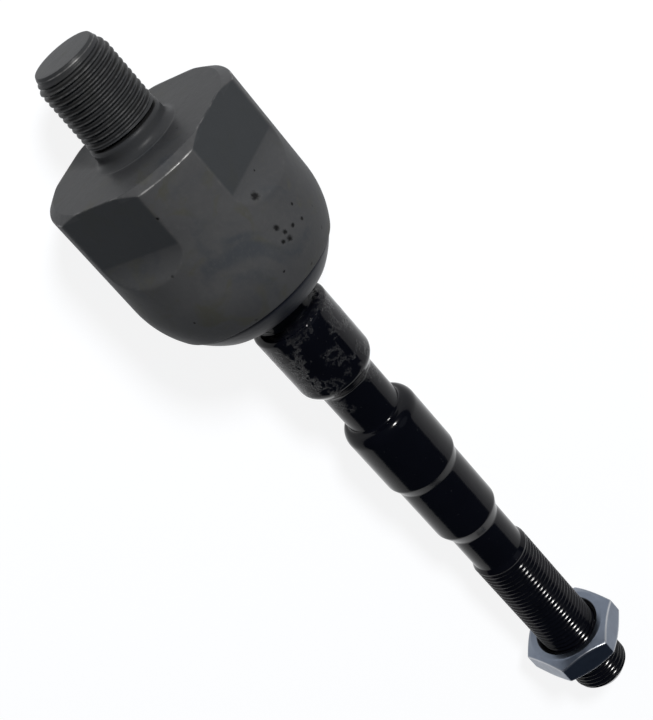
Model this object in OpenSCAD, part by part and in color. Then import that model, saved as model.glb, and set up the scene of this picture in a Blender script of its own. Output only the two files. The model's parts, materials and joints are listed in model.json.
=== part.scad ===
// Inner tie rod: a ball joint housing that screws into a steering rack,
// with a threaded rod that swings in it and carries a lock nut.
// Sizes are in millimetres. The assembly lies on the ground plane z = 0,
// with the rack stud along -X and the rod drooping along +X.

/* [Rack stud] */
// Outside diameter of the stud's thread
stud_d = 18; // [14:0.5:20]
// Length of the stud from the shoulder to its tip
stud_len = 24.2; // [18:0.1:36]
// Diameter of the flat end of the stud
stud_tip_d = 14.8; // [12:0.1:15.6]
// Length of the lead-in cone at the stud's end
stud_lead = 3.6; // [1:0.1:4.5]
// Distance from the shoulder to the end of the full thread
stud_runout = 5.2; // [4.6:0.1:8]
// Depth of the relief groove behind the thread
stud_groove_depth = 1.1; // [0.4:0.1:1.5]
// Width of the relief groove
stud_groove_w = 1; // [0.5:0.1:1.3]
// Height of the round collar at the stud's root above the thread
stud_collar_rise = 0.2; // [0:0.1:0.6]
// Radius of the fillet between the collar and the shoulder
stud_fillet = 2.1; // [1:0.1:2.5]

/* [Housing] */
// Wall of the housing round the ball seats
housing_wall = 5; // [4:0.1:8]
// Thickness of the solid steel between the shoulder and the cavity
back_wall = 6.7; // [4.5:0.1:13]
// Radial width of the bevel round the shoulder
bevel_w = 2.2; // [0.5:0.1:2.8]
// Length of that bevel along the axis
bevel_len = 1.5; // [0.5:0.1:2.2]
// Depth of each wrench flat below the round body
flats_depth = 3; // [1.7:0.1:3.3]
// Length of the flats from the shoulder
flats_len = 14.8; // [10:0.1:17]
// Radius of the cutter that leaves the flats
flats_cutter_r = 8; // [4.5:0.5:10]
// Turn of the flats about the stud's axis, in degrees
flats_turn = 35; // [0:1:45]
// Distance from the ball's centre to the crease where the lip was rolled in
crease_x = 12.4; // [10:0.1:14]
// Depth of the step at that crease
crease_depth = 0.4; // [0.1:0.05:0.7]
// Radial width of the lip's flat face round the mouth
lip_face_w = 1; // [0.7:0.1:2.2]

/* [Ball joint] */
// Diameter of the ball
ball_d = 34; // [30:0.5:35]
// Diameter of the flat on the back of the ball
ball_flat_d = 10; // [6:0.5:13]
// Wall of the two plastic ball seats
seat_wall = 2.8; // [2.2:0.1:3.4]
// Floor of the rear seat behind the ball
seat_floor = 3.1; // [2.2:0.1:3.8]
// Gap between the two seats
seat_split = 0.7; // [0.3:0.1:1.7]
// Clearance between the ball and its seats
ball_clear = 0.1; // [0.05:0.01:0.15]
// Clearance between the seats and the housing
seat_clear = 0.1; // [0.05:0.01:0.15]
// Depth of the grease grooves in the seats
grease_depth = 0.9; // [0.4:0.1:1.3]
// Width of the grease grooves
grease_w = 2.2; // [1:0.1:3.4]
// Radius of the grease well in the rear seat's floor
grease_well_r = 4.5; // [3:0.1:5.6]
// Thickness of the preload washer
washer_t = 1.4; // [0.9:0.1:1.6]
// Height of the washer's cone
washer_rise = 0.9; // [0.4:0.1:1.1]
// Radius of the hole in the washer
washer_hole_r = 9; // [7:0.5:11]
// Swing of the rod to each side of the stud's axis, in degrees
swing = 20; // [14:0.5:21]

/* [Rod] */
// Diameter of the neck behind the ball
neck_d = 14.6; // [12.4:0.1:15.2]
// Clearance between the neck and the mouth at full swing
neck_clear = 0.4; // [0.3:0.05:0.7]
// Diameter of the collar next to the housing
collar_d = 20.2; // [18:0.1:22.5]
// Distance from the lip's face to the collar
collar_gap = 9.1; // [8.4:0.1:13.5]
// Length of the smooth step from the neck up to the collar
neck_step = 3.4; // [2:0.1:4]
// Length of the collar
collar_len = 16.3; // [9:0.1:22.5]
// Length of the smooth step from the collar down to the boot groove
collar_step = 8.4; // [3.4:0.1:11]
// Diameter of the groove that holds the boot
boot_groove_d = 14.7; // [12.4:0.1:15.8]
// Length of the boot groove
boot_groove_len = 7.3; // [4.5:0.1:13.5]
// Diameter of the thick part of the shank
shank_d = 20; // [18:0.1:22.5]
// Length of the thick part of the shank
shank_len = 15.2; // [9:0.1:34]
// Length of the smooth step at each end of the thick part
shank_step = 6.8; // [3.4:0.1:10]
// Diameter of the middle part of the shank
middle_d = 17.9; // [16.3:0.1:19]
// Length of the middle part of the shank
middle_len = 14.1; // [9:0.1:34]
// Length of the smooth step from the middle part to the slim part
middle_step = 9; // [4.5:0.1:11]
// Diameter of the slim part before the thread
slim_d = 14.6; // [12.4:0.1:15.4]
// Length of the slim part
slim_len = 8.4; // [4.5:0.1:17]
// Outside diameter of the rod's thread
thread_d = 16; // [15.5:0.5:18]
// Length of the cone from the slim part up to the thread
thread_step = 3.4; // [1.7:0.1:4.5]
// Length of the full thread
thread_len = 54; // [46:0.5:80]
// Length of the lead-in cone at the end of the thread
thread_lead = 2.8; // [1:0.1:4]
// Diameter of the flat end of the rod
thread_tip_d = 11.7; // [9:0.1:12.4]

/* [Lock nut] */
// Distance across the flats of the nut
nut_af = 24; // [23:0.5:27]
// Thickness of the nut
nut_h = 8; // [6.5:0.5:12.5]
// Distance from the start of the full thread to the nut
nut_place = 35; // [4.5:0.5:37]
// Radial width of the bevel in the middle of each of the nut's sides
nut_bevel_w = 1.1; // [0.4:0.1:1.5]
// Depth of the countersink at each end of the nut
nut_sink = 1.1; // [0.5:0.1:1.7]
// Clearance between the nut and the outside of the thread
nut_clear = 0.1; // [0.05:0.01:0.15]

/* [Hidden] */
$fn = 96;
eps = 0.01;
overshoot = 1;
arc_steps = 10;
ease_steps = 12;

// Ball, seats and washer, along X from the ball's centre
ball_r = ball_d / 2;
seat_bore_r = ball_r + ball_clear;
seat_r = seat_bore_r + seat_wall;
seat_back_x = -seat_bore_r - seat_floor;
seat_set_back = 0.4;
washer_gap = 0.05;
washer_edge_gap = 0.6;
washer_stack = washer_rise + washer_t;
cavity_r = seat_r + seat_clear;
cavity_x = seat_back_x - washer_gap - washer_stack;
washer_r = cavity_r - washer_edge_gap;

// Housing
housing_r = cavity_r + housing_wall;
stud_r = stud_d / 2;
shoulder_x = cavity_x - back_wall;
tip_x = shoulder_x - stud_len;
runout_x = shoulder_x - stud_runout;
groove_end_x = runout_x + stud_groove_w;
stud_groove_side = stud_groove_w / 3;
stud_groove_r = stud_r - stud_groove_depth;
stud_collar_r = stud_r + stud_collar_rise;
flats_x = shoulder_x + flats_len;
flats_r = housing_r - flats_depth;

// The mouth is the cone that the neck sweeps, opened a little past the swing
mouth_spare = 1;
mouth_angle = swing + mouth_spare;
mouth_slope = tan(mouth_angle);
mouth_neck_r = (neck_d / 2 + neck_clear) / cos(mouth_angle);
lip_r = housing_r - crease_depth;
// The lip ends where its round outside is as wide as the mouth and the lip's face
lip_b = mouth_neck_r + lip_face_w;
lip_k = 1 + mouth_slope * mouth_slope;
mouth_x = (sqrt(lip_k * lip_r * lip_r - lip_b * lip_b) - lip_b * mouth_slope) / lip_k;

// Rod, along its own axis from the ball's centre
collar_x = mouth_x + collar_gap;
neck_end_x = collar_x - neck_step;
collar_end_x = collar_x + collar_len;
boot_start_x = collar_end_x + collar_step;
boot_end_x = boot_start_x + boot_groove_len;
shank_x = boot_end_x + shank_step;
shank_end_x = shank_x + shank_len;
middle_x = shank_end_x + shank_step;
middle_end_x = middle_x + middle_len;
slim_x = middle_end_x + middle_step;
slim_end_x = slim_x + slim_len;
thread_x = slim_end_x + thread_step;
thread_end_x = thread_x + thread_len;
rod_end_x = thread_end_x + thread_lead;
nut_x = thread_x + nut_place;

// The nut's flat rests on the ground where its far bevel begins
nut_r = nut_af / 2;
nut_face_r = nut_r - nut_bevel_w;
nut_bevel_slope = tan(30);
nut_touch_x = nut_x + nut_h - nut_bevel_w * nut_bevel_slope;
droop = asin(housing_r / norm([nut_touch_x, nut_r])) - atan2(nut_r, nut_touch_x);

// Middle of the whole length, seen from the ball's centre
far_x = rod_end_x * cos(droop) + thread_tip_d / 2 * sin(droop);
middle_of_all_x = (tip_x + far_x) / 2;

// Points [radius, x] of a smooth step between two diameters
function ease(x0, r0, x1, r1) = [
    for (i = [0 : ease_steps])
        let (t = i / ease_steps)
        [r0 + (r1 - r0) * (1 - cos(180 * t)) / 2, x0 + (x1 - x0) * t]
];

// Points [radius, x] of a concave quarter circle that ends on the shoulder
function root_fillet(r, x, fillet) = [
    for (i = [0 : arc_steps])
        let (a = 180 - 90 * i / arc_steps)
        [r + fillet + fillet * cos(a), x - fillet + fillet * sin(a)]
];

// Turns a flat [radius, x] shape about the X axis
module turned() {
    rotate([0, 90, 0])
        rotate_extrude()
            children();
}

// A flat [radius, x] strip from the axis out to r
module strip(r, x0, x1) {
    translate([0, x0])
        square([r, x1 - x0]);
}

// Sets the housing down so that its round body touches the ground
module lie() {
    translate([-middle_of_all_x, 0, housing_r])
        children();
}

// The rod's axis, drooped until the nut touches the ground
module lie_on_rod() {
    lie()
        rotate([0, droop, 0])
            children();
}

// Flat outline of the space that the neck needs, opened by a margin
module swing_outline(margin) {
    start_r = mouth_neck_r + margin;
    reach = housing_r + overshoot;
    polygon([
        [0, 0],
        [start_r, 0],
        [start_r + reach * mouth_slope, reach],
        [0, reach]
    ]);
}

// Flat outline of the stud, the shoulder and the round body
module forging_outline() {
    polygon(concat(
        [
            [0, tip_x],
            [stud_tip_d / 2, tip_x],
            [stud_r, tip_x + stud_lead],
            [stud_r, runout_x],
            [stud_groove_r, runout_x + stud_groove_side],
            [stud_groove_r, groove_end_x - stud_groove_side],
            [stud_collar_r, groove_end_x]
        ],
        root_fillet(stud_collar_r, shoulder_x, stud_fillet),
        [
            [housing_r - bevel_w, shoulder_x],
            [housing_r, shoulder_x + bevel_len],
            [housing_r, 0],
            [0, 0]
        ]
    ));
}

// Flat outline of the dome, with the rolled lip a little lower past the crease
module dome_outline() {
    intersection() {
        circle(r = housing_r);
        strip(housing_r, -eps, crease_x);
    }
    intersection() {
        circle(r = lip_r);
        strip(housing_r, crease_x - eps, mouth_x);
    }
}

// One wrench flat above the axis, with the run-out of its round cutter
module flat_cut() {
    cut_w = 2 * housing_r;
    translate([shoulder_x - overshoot, -housing_r, flats_r])
        cube([flats_len + overshoot, cut_w, housing_r]);
    translate([flats_x, 0, flats_r + flats_cutter_r])
        rotate([90, 0, 0])
            cylinder(r = flats_cutter_r, h = cut_w, center = true);
}

// Crossed grease grooves on the seats' inner faces
module grease_grooves() {
    for (a = [45, 135])
        rotate([a, 0, 0])
            cylinder(r = seat_bore_r + grease_depth, h = grease_w, center = true);
}

module socket_housing() {
    color("#4a4c4e")
        lie()
            difference() {
                turned()
                    difference() {
                        union() {
                            forging_outline();
                            dome_outline();
                        }
                        strip(cavity_r, cavity_x, 0);
                        circle(r = cavity_r);
                        swing_outline(0);
                    }
                for (a = [0 : 90 : 270])
                    rotate([flats_turn + a, 0, 0])
                        flat_cut();
            }
}

// Coned disc spring that presses the seats against the ball
module preload_washer() {
    color("#8b8f94")
        lie()
            turned()
                polygon([
                    [washer_hole_r, cavity_x + washer_rise],
                    [washer_r, cavity_x],
                    [washer_r, cavity_x + washer_t],
                    [washer_hole_r, cavity_x + washer_stack]
                ]);
}

module rear_ball_seat() {
    color("#d9d4c4")
        lie()
            difference() {
                turned()
                    difference() {
                        strip(seat_r, seat_back_x, -seat_split / 2);
                        circle(r = seat_bore_r);
                        strip(grease_well_r, seat_back_x - overshoot, 0);
                    }
                grease_grooves();
            }
}

module front_ball_seat() {
    color("#d9d4c4")
        lie()
            difference() {
                turned()
                    difference() {
                        intersection() {
                            circle(r = seat_r);
                            strip(seat_r, seat_split / 2, seat_r);
                        }
                        circle(r = seat_bore_r);
                        swing_outline(seat_set_back);
                    }
                grease_grooves();
            }
}

// Flat outline of the neck, the collar, the boot groove, the shank and the thread
module shank_outline() {
    polygon(concat(
        [[0, 0], [neck_d / 2, 0]],
        ease(neck_end_x, neck_d / 2, collar_x, collar_d / 2),
        ease(collar_end_x, collar_d / 2, boot_start_x, boot_groove_d / 2),
        ease(boot_end_x, boot_groove_d / 2, shank_x, shank_d / 2),
        ease(shank_end_x, shank_d / 2, middle_x, middle_d / 2),
        ease(middle_end_x, middle_d / 2, slim_x, slim_d / 2),
        [
            [slim_d / 2, slim_end_x],
            [thread_d / 2, thread_x],
            [thread_d / 2, thread_end_x],
            [thread_tip_d / 2, rod_end_x],
            [0, rod_end_x]
        ]
    ));
}

// Ball, neck, shank and thread, forged in one piece
module ball_rod() {
    ball_flat_x = -sqrt(ball_r * ball_r - ball_flat_d * ball_flat_d / 4);
    color("#17181c")
        lie_on_rod()
            turned() {
                intersection() {
                    circle(r = ball_r);
                    strip(ball_r, ball_flat_x, ball_r);
                }
                shank_outline();
            }
}

// Hexagon nut with bevelled corners and a countersink at each end
module lock_nut() {
    bore_r = thread_d / 2 + nut_clear;
    sink_r = bore_r + nut_sink;
    hexagon_r = nut_r / cos(30);
    corner_r = hexagon_r + overshoot;
    bevel_drop = (corner_r - nut_face_r) * nut_bevel_slope;
    color("#a7adb8")
        lie_on_rod()
            translate([nut_x, 0, 0])
                intersection() {
                    rotate([0, 90, 0])
                        rotate([0, 0, 30])
                            cylinder(r = hexagon_r, h = nut_h, $fn = 6);
                    turned()
                        polygon([
                            [sink_r, 0],
                            [nut_face_r, 0],
                            [corner_r, bevel_drop],
                            [corner_r, nut_h - bevel_drop],
                            [nut_face_r, nut_h],
                            [sink_r, nut_h],
                            [bore_r, nut_h - nut_sink],
                            [bore_r, nut_sink]
                        ]);
                }
}

socket_housing();
preload_washer();
rear_ball_seat();
front_ball_seat();
ball_rod();
lock_nut();
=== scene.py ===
"""Looks of an inner tie rod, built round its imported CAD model.

The housing, the ball rod and the lock nut get detailed meshes with real thread turns.
The two ball seats and the preload washer keep their CAD shape and get materials.
Lengths are written in millimetres and turned into metres when a mesh is made.
"""

import json
import math

import bpy
import numpy as np
from mathutils import Matrix, Vector


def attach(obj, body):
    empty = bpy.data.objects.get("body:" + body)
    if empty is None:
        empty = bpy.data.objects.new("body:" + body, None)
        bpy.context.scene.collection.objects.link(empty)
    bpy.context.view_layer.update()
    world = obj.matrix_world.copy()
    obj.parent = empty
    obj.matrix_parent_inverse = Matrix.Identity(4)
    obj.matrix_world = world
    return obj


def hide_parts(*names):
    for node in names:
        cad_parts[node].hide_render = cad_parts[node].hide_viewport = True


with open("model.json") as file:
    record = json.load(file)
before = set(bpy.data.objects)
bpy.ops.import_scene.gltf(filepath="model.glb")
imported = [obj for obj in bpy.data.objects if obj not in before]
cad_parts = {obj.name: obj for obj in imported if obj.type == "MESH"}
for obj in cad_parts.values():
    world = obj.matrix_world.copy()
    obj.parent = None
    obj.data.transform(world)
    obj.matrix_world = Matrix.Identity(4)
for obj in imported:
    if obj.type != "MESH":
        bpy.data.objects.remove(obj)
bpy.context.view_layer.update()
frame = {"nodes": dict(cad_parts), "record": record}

MM = 0.001
TURN = 2 * math.pi

# Places
record = frame["record"]
joints = {joint["name"]: joint for joint in record["behaviour"]["joints"]}
BALL = np.array(joints["rod_swing"]["pos_m"]) / MM
ROD_AXIS = np.array(joints["nut_travel"]["axis"])
DROOP = math.atan2(-ROD_AXIS[2], ROD_AXIS[0])

# Sizes
# Along the housing's axis, from the ball's centre
SHOULDER_X = -29.25
STUD_LEN = 24.2
TIP_X = SHOULDER_X - STUD_LEN
TIP_R = 7.4
STUD_R = 9.0
STUD_LEAD = 3.6
STUD_THREAD_START = 0.6
STUD_RUNOUT = 5.2
STUD_GROOVE_W = 1.0
STUD_GROOVE_R = 7.9
STUD_GROOVE_SLOPES = (0.35, 0.3)
STUD_COLLAR_R = 9.2
# Every point of the stud and its root is nearer to the axis than this
ON_STUD_R = 12
ROOT_FILLET = 2.1
HOUSING_R = 25.0
BEVEL_W = 2.2
BEVEL_LEN = 1.5
FLATS_R = 22.0
FLATS_LEN = 14.8
FLATS_TURN = 35.0
CUTTER_R = 8.0
CREASE_X = 12.4
CREASE_W = 0.18
LIP_R = 24.6
MOUTH_X = 18.41
CAVITY_R = 20.0
CAVITY_X = -22.55
NECK_R = 7.3
MOUTH_ANGLE = math.radians(21)
MOUTH_GAP = 0.4
MOUTH_NECK_R = (NECK_R + MOUTH_GAP) / math.cos(MOUTH_ANGLE)
CONE_MIDDLE_X = 15.2
CONE_END_X = 14.47
CAVITY_FRONT_X = 14.2
CAVITY_FRONT_ANGLE = 42
CAVITY_BACK_R = 12.0

# Corner radii of the housing, from the stud's tip to the mouth
TIP_CORNER = 0.25
RUNOUT_CORNER = 0.12
GROOVE_CORNER = 0.1
STUD_COLLAR_CORNER = 0.45
SHOULDER_CORNER = 0.35
BEVEL_CORNER = 0.45
CREASE_CORNER = 0.3
LIP_CORNER = 0.25
MOUTH_CORNER = 0.35
CONE_CORNER = 0.3

# Along the rod's axis, from the ball's centre
BALL_R = 17.0
BALL_FLAT_R = 5.0
BALL_FLAT_CORNER = 0.2
NECK_CORNER = 0.5
COLLAR_X = MOUTH_X + 9.1
COLLAR_RISE = 3.4
COLLAR_END = COLLAR_X + 16.3
WAIST_X = COLLAR_END + 8.4
WAIST_END = WAIST_X + 7.3
SHANK_X = WAIST_END + 6.8
SHANK_END = SHANK_X + 15.2
MIDDLE_X = SHANK_END + 6.8
MIDDLE_END = MIDDLE_X + 14.1
SLIM_X = MIDDLE_END + 9.0
SLIM_END = SLIM_X + 8.4
SLIM_CORNER = 0.6
THREAD_X = SLIM_END + 3.4
THREAD_END = THREAD_X + 54.0
ROD_END = THREAD_END + 2.8
ROD_TIP_CORNER = 0.5
COLLAR_R = 10.1
WAIST_R = 7.35
SHANK_R = 10.0
MIDDLE_R = 8.95
SLIM_R = 7.3
THREAD_R = 8.0
ROD_TIP_R = 5.85

NUT_X = THREAD_X + 35.0
NUT_H = 8.0
NUT_R = 12.0
NUT_FACE_R = 10.9
NUT_BORE_R = 8.1
NUT_SINK = 1.1
NUT_THREAD_DEPTH = 0.3
NUT_CHAMFER = math.radians(30)
# Rings this far on each side of an edge keep it crisp but not sharp
NUT_EDGE = 0.12
NUT_FACE_EDGE = 0.05
NUT_SIDE_EDGE = 0.03

# Both threads have this pitch; a cut thread is this deep
PITCH = 1.5
CUT_DEPTH = 0.72
# Shares of a half turn's length that the crest and the flank take up; the root takes the rest
CREST_SHARE = 0.12
FLANK_SHARE = 0.70
# Paint fills the rod's thread a little
PAINTED_DEPTH = 0.42
# A thread deepens over its first turns, and ends in less than one
FADE_IN = 2.2
FADE_OUT = 0.8

# Points on curved stretches of an outline
DOME_STEPS = 26
LIP_STEPS = 8
BALL_STEPS = 44
FILLET_POINTS = 13
SHOULDER_POINTS = 12
CORNER_POINTS = 6

# Points round each mesh, and the radius of the ring next to a centre point
HOUSING_COLUMNS = 256
ROD_COLUMNS = 128
NUT_COLUMNS = 216
CENTRE_R = 0.8
CAVITY_CENTRE_R = 1.0

# Longest steps between two rows of points
THREAD_STEP = PITCH / 12
STUD_STEP = 1.1
EDGE_STEP = 0.14
FLAT_STEP = 0.62
PLAIN_STEP = 0.9
HIDDEN_STEP = 3.0

# Widths over which two faces blend into a rounded edge
FLAT_BLEND = 0.22
NUT_BLEND = 0.35

# How bare each edge of the housing is worn, and how wide the bare line is
FLAT_EDGE_WEAR = 0.12
FLAT_EDGE_W = 0.16
BEVEL_EDGE_WEAR = 0.8
BEVEL_EDGE_W = 0.17
BEVEL_WEAR = 0.10
RIM_WEAR = 0.35
RIM_W = 0.3
RIM_LEN = 0.25
TIP_WEAR = 0.55
TIP_W = 0.14
TIP_WORN_X = TIP_X + 0.75

# The shoulder's face is machined this much; painted shadow of the stud darkens it more from this radius
# inwards
FACE_MACHINED = 0.25
STUD_SHADOW_SHARE = 0.6
STUD_SHADOW_R = 19
STUD_SHADOW_FADE = 6

# The rod's grease: where it begins, where it ends, and how long each end takes to thin out
GREASE_X = 24
GREASE_FADE_IN = 3
GREASE_END = WAIST_END - 2
GREASE_FADE_OUT = 9


# Outlines
def smooth(t):
    """A smooth step from 0 to 1 as t goes from 0 to 1."""
    t = np.clip(t, 0.0, 1.0)
    return t * t * (3 - 2 * t)


def rise(x0, r0, x1, r1):
    """Points (x, r, corner) of a rounded shoulder: a tight foot and a quarter ellipse to its top."""
    length, height = x1 - x0, r1 - r0
    foot, reach = x0 + 0.5 * length, 0.5 * length
    points = [(foot, r0, 0.3 * height)]
    for a in np.radians(np.linspace(24, 90, SHOULDER_POINTS)):
        points.append((foot + reach * (1 - math.cos(a)), r0 + height * math.sin(a), 0))
    return points


def fall(x0, r0, x1, r1):
    """Points (x, r, corner) of a short cone with rounded corners, in the middle of a step."""
    middle, half = (x0 + x1) / 2, 0.22 * (x1 - x0)
    height = r0 - r1
    top_corner = 1.4 + 0.6 * height
    foot_corner = 2.0 + 0.3 * height
    return [(middle - half, r0, top_corner), (middle + half, r1, foot_corner)]


def arc(radius, x0, x1, steps):
    """Points (x, r, corner) of a circle about the ball's centre, from x0 to x1."""
    a0, a1 = math.asin(x0 / radius), math.asin(x1 / radius)
    angles = [a0 + (a1 - a0) * i / steps for i in range(steps + 1)]
    return [(radius * math.sin(a), radius * math.cos(a), 0) for a in angles]


def rounded(points):
    """Rounds each corner of a polyline of (x, r, corner radius) and returns its (x, r) points."""
    out = []
    for i, (x, r, radius) in enumerate(points):
        here = np.array([x, r])
        if radius == 0 or i in (0, len(points) - 1):
            out.append(here)
            continue
        before = np.array(points[i - 1][:2]) - here
        after = np.array(points[i + 1][:2]) - here
        u, v = before / np.linalg.norm(before), after / np.linalg.norm(after)
        half = math.acos(np.clip(u @ v, -1, 1)) / 2
        cut = radius / math.tan(half)
        middle = (u + v) / np.linalg.norm(u + v) * radius / math.sin(half)
        start, end = u * cut - middle, v * cut - middle
        for t in np.linspace(0, 1, CORNER_POINTS):
            spoke = start * (1 - t) + end * t
            out.append(here + middle + spoke / np.linalg.norm(spoke) * radius)
    return np.array(out)


def subdivided(points, step):
    """Adds points so that none lie further apart than step(x, r)."""
    out = [points[0]]
    for a, b in zip(points[:-1], points[1:]):
        gap = np.linalg.norm(b - a)
        if gap < 1e-6:
            continue
        n = max(1, math.ceil(gap / step((a[0] + b[0]) / 2, (a[1] + b[1]) / 2)))
        out += [a + (b - a) * i / n for i in range(1, n + 1)]
    return np.array(out)


def column_angles(count, centres, gain, width):
    """Angles round a full turn, crowded near the centres by the gain and over the width."""
    fine = np.linspace(0, TURN, 7201)
    density = np.ones_like(fine)
    for c in centres:
        away = (fine - c + math.pi) % TURN - math.pi
        density += gain * np.exp(-((away / width) ** 2))
    total = np.concatenate([[0], np.cumsum((density[1:] + density[:-1]) / 2)])
    return np.interp(np.arange(count) / count * total[-1], total, fine)


def thread_cut(x, angle):
    """How deep the thread is cut at a place, from 0 at the crest to 1 at the root."""
    phase = (x / PITCH - angle / TURN) % 1.0
    from_crest = np.abs(phase - 0.5) * 2
    return smooth((from_crest - CREST_SHARE) / FLANK_SHARE)


def line_at(value, place, width):
    """1 where a value meets a place, and fading to 0 on either side of it."""
    return np.exp(-(((value - place) / width) ** 2))


def smooth_min(a, b, k):
    """The smaller of a and b, blended where they are within k of each other."""
    h = np.clip(k - np.abs(a - b), 0, None) / k
    return np.minimum(a, b) - h * h * k / 4


# Meshes
def smooth_object(name, verts, faces):
    """A smooth shaded object in the scene, from points in metres and their faces."""
    mesh = bpy.data.meshes.new(name)
    mesh.from_pydata(verts, [], faces)
    mesh.validate()
    mesh.shade_smooth()
    obj = bpy.data.objects.new(name, mesh)
    bpy.context.scene.collection.objects.link(obj)
    return obj


def ring_points(x, r, angles):
    """Points of rows and columns round an axis, given their lengths along it and radii."""
    return np.stack([x, -np.sin(angles) * r, np.cos(angles) * r], axis=2).reshape(-1, 3)


def ring_quads(rows, next_rows, columns):
    """Quads all the way round between each row of points and its next one."""
    i = rows[:, None] * columns
    i_next = next_rows[:, None] * columns
    j = np.arange(columns)[None, :]
    k = (j + 1) % columns
    return np.stack([i + j, i_next + j, i_next + k, i + k], axis=2).reshape(-1, 4)


def turned_object(name, rows, angles, start, end, place):
    """A closed mesh from rows of points round an axis, with a centre point at each end."""
    x, r = rows
    count, columns = x.shape
    points = np.vstack([ring_points(x, r, angles), [[start, 0, 0], [end, 0, 0]]])
    verts = place(points) * MM
    row = np.arange(count - 1)
    quads = ring_quads(row, row + 1, columns)
    first, last = count * columns, count * columns + 1
    j = np.arange(columns)
    k = (j + 1) % columns
    low = np.stack([np.full(columns, first), j, k], axis=1)
    base = (count - 1) * columns
    high = np.stack([np.full(columns, last), base + k, base + j], axis=1)
    return smooth_object(name, verts.tolist(), quads.tolist() + low.tolist() + high.tolist())


def add_attribute(obj, name, values):
    """Stores one number for each point of the rows, for the material to read."""
    layer = obj.data.attributes.new(name, "FLOAT", "POINT")
    full = np.zeros(len(obj.data.vertices), dtype=np.float32)
    full[: values.size] = values.ravel()
    layer.data.foreach_set("value", full)


def on_housing(points):
    """Points on the housing's own axis, moved to where the housing lies."""
    return BALL + points


def on_rod(points):
    """Points on the rod's own axis, turned down by its droop and moved to where it lies."""
    c, s = math.cos(DROOP), math.sin(DROOP)
    turned = np.stack(
        [points[:, 0] * c + points[:, 2] * s, points[:, 1], -points[:, 0] * s + points[:, 2] * c],
        axis=1,
    )
    return BALL + turned


# Housing
def flat_centres():
    """Angles round the housing that the middles of its four wrench flats face."""
    return [math.radians(FLATS_TURN + 90 * k) for k in range(4)]


def flat_limit(x, angle):
    """Radius of the wrench flats and of the cutter's run-out behind them."""
    flats_x = SHOULDER_X + FLATS_LEN
    past = np.clip(x - flats_x, 0, CUTTER_R * 0.999)
    height = FLATS_R + CUTTER_R - np.sqrt(CUTTER_R**2 - past**2)
    limit = np.full(np.broadcast(x, angle).shape, 1e3)
    for centre in flat_centres():
        c = np.cos(angle - centre)
        limit = np.where(c > 0.2, np.minimum(limit, height / np.maximum(c, 0.2)), limit)
    return limit


def cone_radius(x):
    """Radius of the mouth's cone, which lets the rod swing, at a length from the ball's centre."""
    return MOUTH_NECK_R + x * math.tan(MOUTH_ANGLE)


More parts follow.
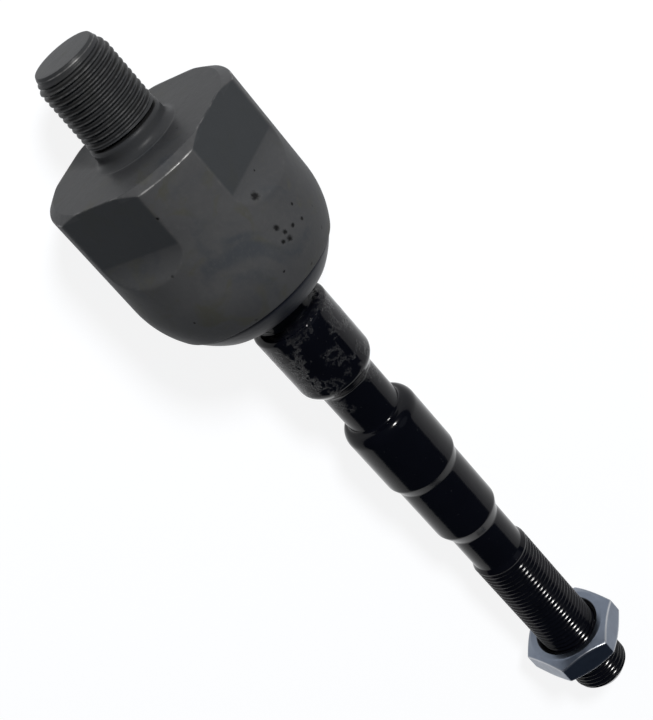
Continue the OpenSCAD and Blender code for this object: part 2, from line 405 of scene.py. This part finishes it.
def build_housing():
    """The housing with its stud, from the stud's tip over the outside to the cavity's back."""
    half = math.acos(FLATS_R / HOUSING_R)
    edges = [c + side * half for c in flat_centres() for side in (-1, 1)]
    angles = column_angles(HOUSING_COLUMNS, edges, gain=2.6, width=math.radians(3.5))

    runout_x = SHOULDER_X - STUD_RUNOUT
    groove_end = runout_x + STUD_GROOVE_W
    outer = rounded(
        [
            (TIP_X, CENTRE_R, 0),
            (TIP_X, TIP_R, TIP_CORNER),
            (TIP_X + STUD_LEAD, STUD_R, 0),
            (runout_x, STUD_R, RUNOUT_CORNER),
            (runout_x + STUD_GROOVE_SLOPES[0], STUD_GROOVE_R, GROOVE_CORNER),
            (groove_end - STUD_GROOVE_SLOPES[1], STUD_GROOVE_R, GROOVE_CORNER),
            (groove_end, STUD_COLLAR_R, STUD_COLLAR_CORNER),
        ]
    )
    fillet = [
        (
            SHOULDER_X - ROOT_FILLET + ROOT_FILLET * math.sin(a),
            STUD_COLLAR_R + ROOT_FILLET + ROOT_FILLET * math.cos(a),
        )
        for a in np.radians(np.linspace(180, 90, FILLET_POINTS))
    ]
    body = rounded(
        [
            (SHOULDER_X, STUD_COLLAR_R + ROOT_FILLET + 0.05, 0),
            (SHOULDER_X, HOUSING_R - BEVEL_W, SHOULDER_CORNER),
            (SHOULDER_X + BEVEL_LEN, HOUSING_R, BEVEL_CORNER),
            (0, HOUSING_R, 0),
        ]
    )
    crease_r = math.sqrt(HOUSING_R**2 - CREASE_X**2)
    lip_r = math.sqrt(LIP_R**2 - (CREASE_X + 0.5) ** 2)
    face_r = math.sqrt(LIP_R**2 - MOUTH_X**2)
    dome = rounded(
        arc(HOUSING_R, 0.4, CREASE_X - 0.5, DOME_STEPS)
        + [(CREASE_X, crease_r, CREASE_CORNER), (CREASE_X + CREASE_W, lip_r - 0.02, LIP_CORNER)]
        + arc(LIP_R, CREASE_X + 0.8, MOUTH_X - 0.6, LIP_STEPS)
        + [
            (MOUTH_X, face_r, MOUTH_CORNER),
            (MOUTH_X, cone_radius(MOUTH_X), CONE_CORNER),
            (CONE_MIDDLE_X, cone_radius(CONE_MIDDLE_X), 0),
            (CONE_END_X, cone_radius(CONE_END_X), 0),
        ]
    )
    inner = [(CAVITY_FRONT_X, math.sqrt(CAVITY_R**2 - CAVITY_FRONT_X**2))]
    for a in np.radians(np.linspace(CAVITY_FRONT_ANGLE, 0, 9)):
        inner.append((CAVITY_R * math.sin(a), CAVITY_R * math.cos(a)))
    for back_r in (CAVITY_R, CAVITY_BACK_R, CAVITY_CENTRE_R):
        inner.append((CAVITY_X, back_r))
    line = np.vstack([outer, fillet, body, dome, inner])

    def step(x, r):
        if r < ON_STUD_R and TIP_X + STUD_THREAD_START < x < runout_x:
            return THREAD_STEP
        if x <= SHOULDER_X + 0.01:
            return STUD_STEP
        if x < SHOULDER_X + BEVEL_LEN + 0.6:
            return EDGE_STEP
        if x < SHOULDER_X + FLATS_LEN + CUTTER_R and r > HOUSING_R - 0.2:
            return FLAT_STEP
        return PLAIN_STEP if r > CAVITY_R + 0.2 else HIDDEN_STEP

    line = subdivided(line, step)
    x = np.repeat(line[:, :1], len(angles), axis=1)
    r = np.repeat(line[:, 1:], len(angles), axis=1)
    a = np.broadcast_to(angles, r.shape)

    stud = (x > TIP_X + 0.3) & (x <= runout_x) & (r < ON_STUD_R)
    fade = smooth((x - TIP_X - STUD_THREAD_START) / FADE_IN) * smooth((runout_x - x) / FADE_OUT)
    cut = thread_cut(x, a)
    r = np.where(stud, r - cut * CUT_DEPTH * fade, r)

    # The flats cut only the rows on the outside, from the shoulder to the mouth
    row = np.arange(len(line))[:, None]
    mouth_row = int(np.argmax(line[:, 0] >= MOUTH_X - 1e-6))
    outside = (row >= len(outer)) & (line[:, 1:] > ON_STUD_R) & (row < mouth_row)
    plain = r.copy()
    limit = flat_limit(x, a)
    r = np.where(outside, smooth_min(r, limit, FLAT_BLEND), r)

    obj = turned_object("socket_housing_shell", (x, r), angles, TIP_X, CAVITY_X, on_housing)

    # Bare edges: round the flats, along the bevel, where flats meet the shoulder, at the stud's tip
    flat_edge = line_at(plain, limit, FLAT_EDGE_W) * outside
    bevel_x = SHOULDER_X + BEVEL_LEN
    off_flats = (plain < limit + 0.05) & outside
    bevel_edge = line_at(x, bevel_x, BEVEL_EDGE_W) * off_flats
    on_bevel = (x < bevel_x) & (r > HOUSING_R - BEVEL_W) & outside
    rim = line_at(x, SHOULDER_X, RIM_LEN) * line_at(r, limit, RIM_W) * outside
    tip_edge = line_at(x, TIP_WORN_X, TIP_W) * (r < STUD_R)
    worn = np.maximum.reduce(
        [
            flat_edge * FLAT_EDGE_WEAR,
            bevel_edge * BEVEL_EDGE_WEAR,
            on_bevel * BEVEL_WEAR,
            rim * RIM_WEAR,
            tip_edge * TIP_WEAR,
        ]
    )
    # The thread's crests, and painted shade: dark lines down both flanks and in the groove behind it
    crest = np.where(stud, (1 - cut) * fade, 0)
    root = np.where(stud, 4 * cut * (1 - cut) * fade, 0)
    in_groove = (x > runout_x + 0.1) & (x < groove_end - 0.05) & (r < STUD_GROOVE_R + 0.7)
    root = np.where(in_groove, 1.0, root)
    add_attribute(obj, "worn", worn)
    add_attribute(obj, "crest", crest)
    add_attribute(obj, "root", root)
    # The stud is machined all over and the shoulder's face a little; painted shadow of the stud darkens
    # the face more towards the stud
    face = (np.abs(x - SHOULDER_X) < 0.1) & (r > STUD_COLLAR_R + ROOT_FILLET - 0.3)
    stud_shadow = smooth((STUD_SHADOW_R - r) / STUD_SHADOW_FADE)
    face_machined_and_shadow = np.where(face, FACE_MACHINED + STUD_SHADOW_SHARE * stud_shadow, 0)
    add_attribute(obj, "machined_and_stud_shadow", np.where(x < SHOULDER_X - 0.1, 1.0, face_machined_and_shadow))
    # The flats are milled dark; the cutter's run-out behind them is only a little darker
    on_flat = smooth((plain - limit) / 0.4) * outside
    past_flat = smooth((x - SHOULDER_X - FLATS_LEN + 0.3) / 0.8)
    add_attribute(obj, "flat", on_flat * (1 - 0.8 * past_flat))
    add_attribute(obj, "lip", x > CREASE_X - 0.05)
    return obj


# Rod
def build_rod():
    """The ball and its rod, from the ball's flat to the threaded end."""
    angles = np.arange(ROD_COLUMNS) / ROD_COLUMNS * TURN
    ball_flat_x = -math.sqrt(BALL_R**2 - BALL_FLAT_R**2)
    neck_x = math.sqrt(BALL_R**2 - NECK_R**2)
    points = (
        [(ball_flat_x, CENTRE_R, 0), (ball_flat_x, BALL_FLAT_R, BALL_FLAT_CORNER)]
        + arc(BALL_R, ball_flat_x + 0.4, neck_x - 0.4, BALL_STEPS)
        + [(neck_x, NECK_R, NECK_CORNER)]
        + rise(COLLAR_X - COLLAR_RISE, NECK_R, COLLAR_X, COLLAR_R)
        + fall(COLLAR_END, COLLAR_R, WAIST_X, WAIST_R)
        + rise(WAIST_END, WAIST_R, SHANK_X, SHANK_R)
        + fall(SHANK_END, SHANK_R, MIDDLE_X, MIDDLE_R)
        + fall(MIDDLE_END, MIDDLE_R, SLIM_X, SLIM_R)
        + [
            (SLIM_END + 1.2, SLIM_R, SLIM_CORNER),
            (THREAD_X - 0.8, THREAD_R, 0),
            (THREAD_END, THREAD_R, 0),
            (ROD_END, ROD_TIP_R, ROD_TIP_CORNER),
            (ROD_END, CENTRE_R, 0),
        ]
    )
    line = rounded(points)

    def step(x, r):
        return THREAD_STEP if x > THREAD_X - PITCH and r > ROD_TIP_R - 0.1 else PLAIN_STEP

    line = subdivided(line, step)
    x = np.repeat(line[:, :1], len(angles), axis=1)
    r = np.repeat(line[:, 1:], len(angles), axis=1)
    a = np.broadcast_to(angles, r.shape)
    fade = smooth((x - THREAD_X + 1.2) / FADE_IN)
    cut = thread_cut(x, a)
    threaded = (x > THREAD_X - PITCH) & (x < ROD_END - 0.2)
    r = np.where(threaded, np.minimum(r, THREAD_R - cut * PAINTED_DEPTH * fade), r)
    obj = turned_object("ball_rod_forging", (x, r), angles, ball_flat_x, ROD_END, on_rod)
    add_attribute(obj, "ball", x < neck_x + 3)
    grease_start = smooth((x - GREASE_X) / GREASE_FADE_IN)
    grease_end = smooth((GREASE_END - x) / GREASE_FADE_OUT)
    add_attribute(obj, "grease", grease_start * grease_end)
    add_attribute(obj, "crest", np.where(threaded, fade * (1 - cut), 0))
    return obj


# Nut
def build_nut():
    """The lock nut, a closed loop of rings: near face, six sides, far face and bore."""
    corners = [math.radians(30 + 60 * k) for k in range(6)]
    angles = column_angles(NUT_COLUMNS, corners, gain=2.5, width=math.radians(5))
    side = np.full(angles.shape, 1e3)
    for k in range(6):
        c = np.cos(angles - math.radians(60 * k))
        side = np.where(c > 0.3, smooth_min(side, NUT_R / np.maximum(c, 0.3), NUT_BLEND), side)
    slope = math.tan(NUT_CHAMFER)
    setback = (side - NUT_FACE_R) * slope
    sink_r = NUT_BORE_R + NUT_SINK

    rows_x, rows_r = [], []

    def ring(x, r):
        rows_x.append(np.broadcast_to(np.asarray(x, float), angles.shape))
        rows_r.append(np.broadcast_to(np.asarray(r, float), angles.shape))

    def face(x0, inward):
        """Rings of one end, from the bore out to the six sides."""
        out = []
        for t in np.linspace(0, 1, 5):
            out.append((x0 + inward * NUT_SINK * (1 - t), NUT_BORE_R + NUT_SINK * t))
        flat_start, flat_end = sink_r + NUT_EDGE, NUT_FACE_R - 0.08
        for r in np.linspace(flat_start, flat_end, 4):
            out.append((x0, r))
        cone_start, cone_end = NUT_FACE_R + NUT_FACE_EDGE, side - NUT_EDGE
        out.append((x0 + inward * NUT_SIDE_EDGE, cone_start))
        for t in np.linspace(0, 1, 8)[1:]:
            r = cone_start + (cone_end - cone_start) * t
            out.append((x0 + inward * (r - NUT_FACE_R) * slope, r))
        out.append((x0 + inward * (setback + 0.02), side - NUT_SIDE_EDGE))
        return out

    for x, r in face(0.0, 1):
        ring(x, r)
    low, high = setback + NUT_EDGE, NUT_H - setback - NUT_EDGE
    for t in np.linspace(0, 1, 12):
        ring(low + (high - low) * t, side)
    for x, r in reversed(face(NUT_H, -1)):
        ring(x, r)
    bore_rows = math.ceil((NUT_H - 2 * NUT_SINK) / (PITCH / 8))
    bore = np.linspace(NUT_H - NUT_SINK, NUT_SINK, bore_rows + 1)
    for x in bore[1:-1]:
        groove = thread_cut(np.full(angles.shape, x), angles) * NUT_THREAD_DEPTH
        ring(x, NUT_BORE_R + groove)
    x, r = np.array(rows_x), np.array(rows_r)

    count, columns = x.shape
    row = np.arange(count)
    verts = on_rod(ring_points(x + NUT_X, r, angles)) * MM
    quads = ring_quads(row, (row + 1) % count, columns)
    obj = smooth_object("lock_nut_hexagon", verts.tolist(), quads.tolist())
    # The bore and countersink, which get painted shade
    add_attribute(obj, "bore", r < sink_r + 0.02)
    from_edge = np.minimum(np.abs(x - setback), np.abs(x - NUT_H + setback))
    add_attribute(obj, "worn", line_at(r, side, 0.15) * line_at(from_edge, 0, 0.25))
    return obj


housing = build_housing()
rod = build_rod()
nut = build_nut()


# The housing's larger pits: (length from the ball's centre, angle) and radius
PITS = (
    ((-10.3, -37), 1.15),
    ((-12.7, -51), 0.30),
    ((-2.1, -34), 0.80),
    ((0.0, -36), 0.65),
    ((1.9, -36), 0.80),
    ((0.6, -42), 0.50),
    ((1.5, -49), 0.50),
    ((1.2, -32), 0.65),
    ((-2.3, -50), 0.42),
    ((-21.4, 7), 0.45),
    ((6.3, -23), 0.35),
    ((3.9, 31), 0.30),
    ((-6.0, 95), 0.60),
    ((2.5, 160), 0.50),
    ((-11.0, 205), 0.40),
)


def pit_point(place):
    """The point of the housing's outside at a length in millimetres and an angle in degrees."""
    x, angle = place
    a = math.radians(angle)
    r = HOUSING_R if x < 0 else math.sqrt(HOUSING_R**2 - x**2)
    r = min(r, float(flat_limit(np.array(x), np.array(a))))
    return tuple(BALL + np.array([x, -r * math.sin(a), r * math.cos(a)]))


# Colours
PHOSPHATE_DARK = (0.042, 0.043, 0.046, 1)
PHOSPHATE_LIGHT = (0.074, 0.075, 0.076, 1)
BROWN_CLOUD = (0.058, 0.058, 0.050, 1)
BLUE_CLOUD = (0.042, 0.046, 0.052, 1)
MILLED = (0.030, 0.033, 0.036, 1)
# Turned steel, also used for the painted shadow round the stud's root
TURNED_AND_SHADOW = (0.027, 0.028, 0.030, 1)
PAINTED_LIP = (0.005, 0.007, 0.014, 1)
PAINT_DARK = (0.0012, 0.0013, 0.0024, 1)
PAINT_LIGHT = (0.0030, 0.0034, 0.0060, 1)
ZINC_DARK = (0.12, 0.14, 0.18, 1)
ZINC_LIGHT = (0.19, 0.22, 0.27, 1)
ZINC_STAIN = (0.13, 0.12, 0.15, 1)
ACETAL = (0.68, 0.64, 0.53, 1)
GREASE = (0.42, 0.33, 0.18, 1)
SPRING_BLUE = (0.16, 0.17, 0.21, 1)
SPRING_GREY = (0.30, 0.30, 0.31, 1)
FLOOR_GREY = (0.42, 0.45, 0.50, 1)
WHITE = (1, 1, 1, 1)


def grey(value, warm=0.0):
    """A dark or light grey, a little warm or cool."""
    return (value * (1 + warm), value, value * (1 - warm), 1.0)


# Materials
class Nodes:
    """Short ways to add nodes to one material; coordinates are in millimetres."""

    def __init__(self, name):
        self.material = bpy.data.materials.new(name)
        self.material.use_nodes = True
        self.tree = self.material.node_tree
        self.shader = self.tree.nodes["Principled BSDF"]
        coords = self.tree.nodes.new("ShaderNodeTexCoord")
        mapping = self.tree.nodes.new("ShaderNodeMapping")
        mapping.inputs["Scale"].default_value = (1 / MM, 1 / MM, 1 / MM)
        self.tree.links.new(coords.outputs["Object"], mapping.inputs["Vector"])
        self.mm = mapping.outputs["Vector"]

    def node(self, kind, **settings):
        """A new node with the given settings."""
        made = self.tree.nodes.new(kind)
        for key, value in settings.items():
            setattr(made, key, value)
        return made

    def put(self, socket, value):
        """Links a socket to another node's output, or gives it a plain value."""
        if isinstance(value, bpy.types.NodeSocket):
            self.tree.links.new(value, socket)
        else:
            socket.default_value = value

    def noise(self, size, detail=3.0, rough=0.55, warp=0.0):
        """Noise from 0 to 1 whose lumps are about size millimetres across."""
        made = self.node("ShaderNodeTexNoise")
        self.put(made.inputs["Vector"], self.mm)
        made.inputs["Scale"].default_value = 1.0 / size
        made.inputs["Detail"].default_value = detail
        made.inputs["Roughness"].default_value = rough
        made.inputs["Distortion"].default_value = warp
        return made.outputs["Fac"]

    def cells(self, size):
        """Distance to the nearest of scattered points, about size millimetres apart."""
        made = self.node("ShaderNodeTexVoronoi")
        self.put(made.inputs["Vector"], self.mm)
        made.inputs["Scale"].default_value = 1.0 / size
        return made.outputs["Distance"]

    def ramp(self, value, low, high):
        """0 below low, 1 above high and smooth between."""
        made = self.node("ShaderNodeMapRange", interpolation_type="SMOOTHSTEP")
        self.put(made.inputs["Value"], value)
        made.inputs["From Min"].default_value = low
        made.inputs["From Max"].default_value = high
        return made.outputs["Result"]

    def between(self, value, low, high):
        """Spreads 0 to 1 over low to high."""
        made = self.node("ShaderNodeMapRange")
        self.put(made.inputs["Value"], value)
        made.inputs["To Min"].default_value = low
        made.inputs["To Max"].default_value = high
        return made.outputs["Result"]

    def math(self, operation, a, b=0.0):
        """A sum, product or the like of two values."""
        made = self.node("ShaderNodeMath", operation=operation)
        self.put(made.inputs[0], a)
        self.put(made.inputs[1], b)
        return made.outputs["Value"]

    def mix(self, amount, a, b):
        """Colour a where amount is 0, and colour b where it is 1."""
        made = self.node("ShaderNodeMix", data_type="RGBA")
        self.put(made.inputs["Factor"], amount)
        self.put(made.inputs["A"], a)
        self.put(made.inputs["B"], b)
        return made.outputs["Result"]

    def attribute(self, name):
        """A number that add_attribute stored on the mesh."""
        return self.node("ShaderNodeAttribute", attribute_name=name).outputs["Fac"]

    def bump(self, height, distance, strength=1.0, under=None):
        """Bump whose height of 1 stands for distance millimetres."""
        made = self.node("ShaderNodeBump")
        self.put(made.inputs["Height"], height)
        made.inputs["Distance"].default_value = distance * MM
        made.inputs["Strength"].default_value = strength
        if under is not None:
            self.put(made.inputs["Normal"], under)
        return made.outputs["Normal"]

    def distance(self, place):
        """Distance in millimetres from a place given in millimetres."""
        made = self.node("ShaderNodeVectorMath", operation="DISTANCE")
        self.put(made.inputs[0], self.mm)
        made.inputs[1].default_value = place
        return made.outputs["Value"]

    def finish(self, **values):
        """Sets the shader's inputs, with _ for a space in a name, and returns the material."""
        for name, value in values.items():
            self.put(self.shader.inputs[name.replace("_", " ")], value)
        return self.material


def phosphate():
    """Matt dark phosphate over forged steel, scuffed on its edges."""
    n = Nodes("phosphate")
    cloud = n.noise(14, detail=5, rough=0.6, warp=0.4)
    fine = n.noise(1.3, detail=6, rough=0.65)
    speck = n.noise(0.35, detail=2)
    base = n.mix(cloud, PHOSPHATE_DARK, PHOSPHATE_LIGHT)
    base = n.mix(n.ramp(n.noise(9, detail=4, warp=1.0), 0.52, 0.68), base, BROWN_CLOUD)
    base = n.mix(n.ramp(n.noise(17, detail=3, warp=0.8), 0.55, 0.75), base, BLUE_CLOUD)
    base = n.mix(n.math("MULTIPLY", n.ramp(fine, 0.45, 0.75), 0.4), base, grey(0.070))
    base = n.mix(n.math("MULTIPLY", n.attribute("flat"), 0.8), base, MILLED)
    # Dark pits: a few placed ones, and small ones thick in some places
    pit_place = n.ramp(n.noise(15, detail=2), 0.55, 0.64)
    pits = n.math("SUBTRACT", 1.0, n.ramp(n.cells(4.5), 0.05, 0.14))
    pits = n.math("MULTIPLY", pits, n.math("MULTIPLY", pit_place, 0.6))
    edge = n.math("MULTIPLY", fine, 1.7)
    for place, size in PITS:
        away = n.distance(pit_point(place))
        near = n.math("DIVIDE", away, size)
        near = n.math("ADD", near, n.math("SUBTRACT", edge, 0.85))
        pits = n.math("MAXIMUM", pits, n.math("SUBTRACT", 1.0, n.ramp(near, 0.35, 1.25)))
    base = n.mix(n.math("MULTIPLY", pits, 0.95), base, grey(0.005))
    # Bare steel on worn edges, thread crests and scratches
    broken = n.ramp(n.noise(2.6, detail=4), 0.36, 0.64)
    worn = n.math("MULTIPLY", n.attribute("worn"), n.between(broken, 0.35, 1.0))
    crest = n.math("MULTIPLY", n.attribute("crest"), n.between(fine, 0.3, 1.4))
    crest = n.math("MULTIPLY", n.ramp(crest, 0.55, 1.0), 0.22)
    scratches = n.ramp(n.noise(5, detail=8, rough=0.85, warp=3.0), 0.72, 0.78)
    bare = n.math("MAXIMUM", worn, n.math("MAXIMUM", crest, n.math("MULTIPLY", scratches, 0.25)))
    bare = n.ramp(bare, 0.0, 1.0)
    # The machined stud with painted shadow round its root, bare steel, the thread's painted shade and
    # the black lip, each over the last
    base = n.mix(n.math("MULTIPLY", n.attribute("machined_and_stud_shadow"), 0.85), base, TURNED_AND_SHADOW)
    base = n.mix(bare, base, grey(0.30, 0.01))
    # Painted shade down the thread's flanks and in the groove behind them
    base = n.mix(n.math("MULTIPLY", n.attribute("root"), 0.9), base, grey(0.006))
    base = n.mix(n.math("MULTIPLY", n.attribute("lip"), 0.95), base, PAINTED_LIP)
    rough = n.between(cloud, 0.42, 0.56)
    rough = n.math("SUBTRACT", rough, n.math("MULTIPLY", bare, 0.12))
    rough = n.math("SUBTRACT", rough, n.math("MULTIPLY", n.attribute("lip"), 0.16))
    rough = n.math("SUBTRACT", rough, n.math("MULTIPLY", n.attribute("machined_and_stud_shadow"), 0.12))
    lumps = n.bump(n.noise(3.2, detail=3), 0.10, 0.5)
    grain = n.bump(fine, 0.035, 0.7, lumps)
    grain = n.bump(speck, 0.012, 0.8, grain)
    grain = n.bump(n.math("SUBTRACT", 1.0, pits), 0.15, 0.7, grain)
    return n.finish(
        Base_Color=base,
        Metallic=n.math("MULTIPLY", bare, 0.3),
        Roughness=rough,
        Specular_IOR_Level=0.07,
        Normal=grain,
    )


def black_paint():
    """Gloss black paint over a forging, greasy and crinkled on the collar, steel on the ball."""
    n = Nodes("black_gloss")
    grease = n.attribute("grease")
    ball = n.attribute("ball")
    cloud = n.noise(10, detail=4)
    base = n.mix(cloud, PAINT_DARK, PAINT_LIGHT)
    dust = n.ramp(n.noise(0.9, detail=3), 0.68, 0.75)
    base = n.mix(n.math("MULTIPLY", dust, 0.03), base, grey(0.30))
    rubbed = n.ramp(n.math("MULTIPLY", n.attribute("crest"), n.noise(2.2, detail=4)), 0.50, 0.70)
    base = n.mix(n.math("MULTIPLY", rubbed, 0.02), base, grey(0.35))
    base = n.mix(ball, base, grey(0.42))
    rough = n.between(n.noise(6, detail=4), 0.10, 0.17)
    rough = n.math("SUBTRACT", rough, n.math("MULTIPLY", grease, 0.03))
    # The paint sags softly, and the grease on the collar lies in thin crinkled ridges
    sag = n.bump(n.noise(6, detail=2), 0.12, 0.4)
    wave = n.math("SUBTRACT", n.math("MULTIPLY", n.noise(2.2, detail=5, rough=0.7, warp=0.6), 2.0), 1.0)
    ridge = n.math("SUBTRACT", 1.0, n.ramp(n.math("ABSOLUTE", wave), 0.0, 0.10))
    patch = n.math("MULTIPLY", n.ramp(n.noise(5, detail=4), 0.47, 0.60), grease)
    sag = n.bump(n.math("MULTIPLY", ridge, patch), 0.16, 0.8, sag)
    skin = n.bump(n.noise(0.8, detail=2), 0.012, 0.5, sag)
    return n.finish(
        Base_Color=base,
        Metallic=ball,
        Roughness=rough,
        Specular_IOR_Level=0.16,
        Normal=skin,
    )


def zinc():
    """Bright zinc plate, bluish, with faint stains and painted shade in the bore."""
    n = Nodes("bright_zinc")
    cloud = n.noise(4, detail=5, warp=0.5)
    base = n.mix(cloud, ZINC_DARK, ZINC_LIGHT)
    stain = n.ramp(n.noise(2.5, detail=5, warp=1.0), 0.58, 0.72)
    base = n.mix(n.math("MULTIPLY", stain, 0.35), base, ZINC_STAIN)
    # Painted shade in the countersink and bore
    base = n.mix(n.math("MULTIPLY", n.attribute("bore"), 0.75), base, grey(0.05))
    base = n.mix(n.math("MULTIPLY", n.attribute("worn"), 0.6), base, grey(0.78))
    rough = n.between(n.noise(1.5, detail=4), 0.24, 0.40)
    lumps = n.bump(n.noise(2.4, detail=3), 0.03, 0.5)
    grain = n.bump(n.noise(0.3, detail=2), 0.006, 0.5, lumps)
    return n.finish(Base_Color=base, Metallic=1.0, Roughness=rough, Normal=grain)


def acetal():
    """Natural acetal of the ball seats, smeared with grease."""
    n = Nodes("greased_acetal")
    smear = n.ramp(n.noise(5, detail=5, warp=1.5), 0.45, 0.70)
    base = n.mix(smear, ACETAL, GREASE)
    rough = n.between(smear, 0.42, 0.20)
    return n.finish(
        Base_Color=base,
        Roughness=rough,
        Normal=n.bump(n.noise(1.2, detail=4), 0.03, 0.6),
    )


def spring_steel():
    """Tempered spring steel, blue-grey with turning marks."""
    n = Nodes("tempered_steel")
    cloud = n.noise(5, detail=5)
    base = n.mix(cloud, SPRING_BLUE, SPRING_GREY)
    rough = n.between(n.noise(1.0, detail=4), 0.28, 0.42)
    return n.finish(
        Base_Color=base,
        Metallic=0.9,
        Roughness=rough,
        Normal=n.bump(n.noise(0.5, detail=3), 0.01, 0.6),
    )


def dress(obj, material):
    """Gives an object this one material on every face."""
    obj.data.materials.clear()
    obj.data.materials.append(material)


dress(housing, phosphate())
dress(rod, black_paint())
dress(nut, zinc())
seat_material = acetal()
for name, made in (
    ("rear_ball_seat", seat_material),
    ("front_ball_seat", seat_material),
    ("preload_washer", spring_steel()),
):
    for slot in frame["nodes"][name].material_slots:
        slot.material = made

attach(housing, "housing")
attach(rod, "rod")
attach(nut, "nut")
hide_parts("socket_housing")
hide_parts("ball_rod")
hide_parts("lock_nut")


# Floor and light, in metres
# Radius and height of each ring of the floor, which curves up into a low wall
FLOOR_RINGS = ((0.5, 0), (1.2, 0), (2.3, 0), (2.7, 0.04), (3.0, 0.14), (3.15, 0.3), (3.2, 0.55))
FLOOR_SIDES = 64
# How much of what the camera and glossy paint see of the floor is plain white, and how bright
WHITE_SHARE = 0.65
WHITE_STRENGTH = 1.36
SKY_COLOUR = (0.55, 0.72, 1.0, 1)
SKY_STRENGTH = 0.07


def build_floor():
    """A round pale floor that curves up into a low wall, far from the object."""
    verts = [(0, 0, 0)]
    for radius, height in FLOOR_RINGS:
        for i in range(FLOOR_SIDES):
            turn = TURN * i / FLOOR_SIDES
            verts.append((radius * math.cos(turn), radius * math.sin(turn), height))
    faces = [(0, 1 + i, 1 + (i + 1) % FLOOR_SIDES) for i in range(FLOOR_SIDES)]
    for ring in range(len(FLOOR_RINGS) - 1):
        low, high = 1 + ring * FLOOR_SIDES, 1 + (ring + 1) * FLOOR_SIDES
        for i in range(FLOOR_SIDES):
            j = (i + 1) % FLOOR_SIDES
            faces.append((low + i, high + i, high + j, low + j))
    return smooth_object("floor", verts, faces)


floor = build_floor()


def floor_material():
    """Pale floor that shows white to the camera and to glossy paint, and keeps the shadow."""
    material = bpy.data.materials.new("pale_floor")
    material.use_nodes = True
    tree = material.node_tree
    tree.nodes.clear()
    out = tree.nodes.new("ShaderNodeOutputMaterial")
    path = tree.nodes.new("ShaderNodeLightPath")
    seen = path.outputs["Is Camera Ray"]
    for ray in ("Is Transmission Ray", "Is Glossy Ray"):
        either = tree.nodes.new("ShaderNodeMath")
        either.operation = "MAXIMUM"
        tree.links.new(seen, either.inputs[0])
        tree.links.new(path.outputs[ray], either.inputs[1])
        seen = either.outputs[0]
    share = tree.nodes.new("ShaderNodeMath")
    share.operation = "MULTIPLY"
    share.inputs[1].default_value = WHITE_SHARE
    tree.links.new(seen, share.inputs[0])
    matt = tree.nodes.new("ShaderNodeBsdfDiffuse")
    matt.inputs["Color"].default_value = FLOOR_GREY
    white = tree.nodes.new("ShaderNodeEmission")
    white.inputs["Color"].default_value = WHITE
    white.inputs["Strength"].default_value = WHITE_STRENGTH
    mixed = tree.nodes.new("ShaderNodeMixShader")
    tree.links.new(share.outputs[0], mixed.inputs["Fac"])
    tree.links.new(matt.outputs[0], mixed.inputs[1])
    tree.links.new(white.outputs[0], mixed.inputs[2])
    tree.links.new(mixed.outputs[0], out.inputs["Surface"])
    return material


floor.data.materials.append(floor_material())

world = bpy.data.worlds.new("studio")
bpy.context.scene.world = world
world.use_nodes = True
world.node_tree.nodes["Background"].inputs["Color"].default_value = SKY_COLOUR
world.node_tree.nodes["Background"].inputs["Strength"].default_value = SKY_STRENGTH


def round_lamp(name, place, size, power, colour):
    """A round area lamp at a place, facing the middle of the object."""
    lamp = bpy.data.lights.new(name, "AREA")
    lamp.shape = "ELLIPSE"
    lamp.size = size
    lamp.size_y = size
    lamp.energy = power
    lamp.color = colour
    obj = bpy.data.objects.new(name, lamp)
    bpy.context.scene.collection.objects.link(obj)
    obj.location = place
    obj.rotation_mode = "QUATERNION"
    obj.rotation_quaternion = (OBJECT_MIDDLE - Vector(place)).to_track_quat("-Z", "Y")


OBJECT_MIDDLE = Vector((0, 0, 0.02))
# The key stands on the stud's side, small enough for crisp glints on the thread's flanks
round_lamp("key", place=(-0.64, 0.39, 0.76), size=0.17, power=11.5, colour=(1.0, 0.985, 0.96))
round_lamp("fill", place=(0.1, 0.9, 0.9), size=0.8, power=0.5, colour=(0.82, 0.88, 1.0))

# Camera, where the photograph's perspective puts it
LENS_MM = 86.6
SENSOR_MM = 36.0
CAMERA_FROM_BALL = np.array([-147.97, 60.55, 352.0])
# Which way the picture's right and down point
IMAGE_RIGHT = Vector((0.57799, 0.79726, 0.17408))
IMAGE_DOWN = Vector((0.66809, -0.58480, 0.46007))

camera_data = bpy.data.cameras.new("camera")
camera_data.sensor_width = SENSOR_MM
camera_data.sensor_fit = "AUTO"
camera_data.lens = LENS_MM
camera = bpy.data.objects.new("camera", camera_data)
bpy.context.scene.collection.objects.link(camera)
right = IMAGE_RIGHT.normalized()
up = -(IMAGE_DOWN - right * IMAGE_DOWN.dot(right)).normalized()
back = right.cross(up)
camera_place = Matrix.Translation(Vector((BALL + CAMERA_FROM_BALL) * MM))
camera_turn = Matrix((right, up, back)).transposed().to_4x4()
camera.matrix_world = camera_place @ camera_turn
bpy.context.scene.camera = camera
bpy.context.scene.view_settings.view_transform = "Standard"
